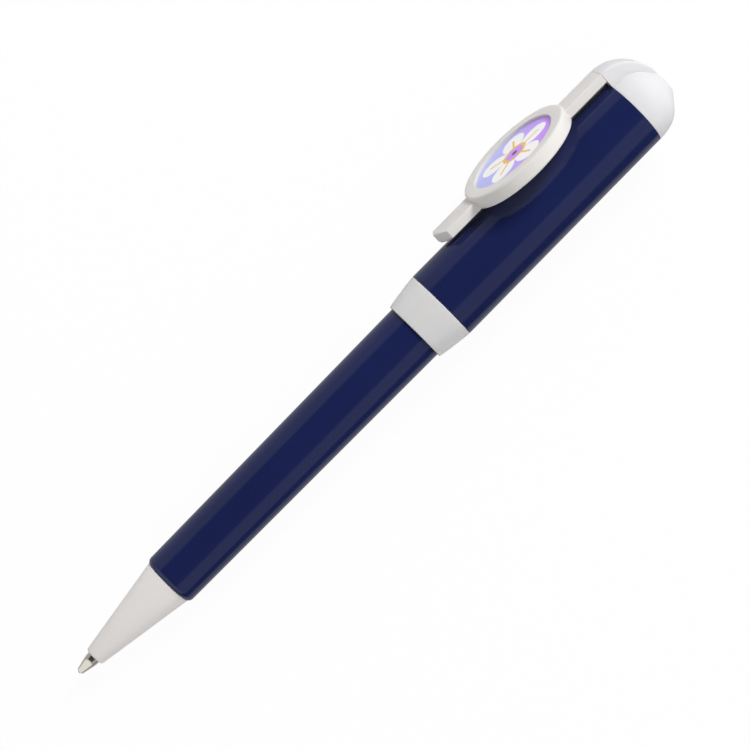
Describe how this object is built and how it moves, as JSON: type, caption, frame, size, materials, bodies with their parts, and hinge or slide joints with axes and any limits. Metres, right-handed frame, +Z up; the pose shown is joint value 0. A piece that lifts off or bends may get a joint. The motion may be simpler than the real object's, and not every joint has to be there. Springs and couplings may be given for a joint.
{
  "type": "twist-action ballpoint pen",
  "caption": "Ballpoint pen with a conical nose, a two-part barrel, a domed cap and a sprung clip with a round disc; twisting the upper half draws the refill in and out.",
  "frame": {"origin": "centre of the pen's bounding box on the table that it lies on", "axes": "+X along the pen from the writing point towards the cap, +Z up, +Y to the clip's side"},
  "size_m": [0.1396, 0.02, 0.0212],
  "materials": {
    "navy": "gloss, moulded",
    "white_trim": "semi-gloss, moulded",
    "cap_white": "semi-gloss, moulded",
    "clip_white": "semi-gloss, moulded",
    "badge_print": "printed, clear coated",
    "point_metal": "polished",
    "steel": "bright",
    "brass": "turned",
    "tube_plastic": "translucent natural",
    "mechanism": "natural, moulded",
    "ink": "ink paste"
  },
  "bodies": {
    "lower": {"nose_cone": "white_trim", "return_spring": "steel", "lower_barrel": "navy", "barrel_bush": "mechanism", "guide_tube": "mechanism", "retaining_ring": "steel"},
    "upper": {"cam_sleeve": "mechanism", "drive_drum": "mechanism", "centre_ring": "white_trim", "upper_barrel": "navy", "end_dome": "cap_white"},
    "refill": {"writing_ball": "steel", "refill_point": "point_metal", "point_adapter": "brass", "spring_collar": "brass", "refill_tube": "tube_plastic", "ink_column": "ink", "tube_plug": "tube_plastic", "cam_follower": "mechanism"},
    "clip": {"clip_arm": "clip_white", "badge_disc": "badge_print"}
  },
  "joints": [
    {"name": "twist", "type": "hinge", "parent": "lower", "child": "upper", "pos_m": [0.0168, -0.00323, 0.00675], "axis": [0.9996, 0, 0.0279], "range_deg": [0, 180]},
    {"name": "refill_slide", "type": "slide", "parent": "lower", "child": "refill", "axis": [0.9996, 0, 0.0279], "range_m": [0, 0.005], "deforming": ["return_spring"]},
    {"name": "clip_flex", "type": "hinge", "parent": "upper", "child": "clip", "pos_m": [0.06214, 0.00545, 0.01136], "axis": [0.026, 0.36, -0.9326], "range_deg": [0, 6], "stiffness_Nm_per_rad": 1.5}
  ],
  "couplings": [
    {"joint": "twist", "follows": "refill_slide", "rad_per_m": 628.32}
  ]
}
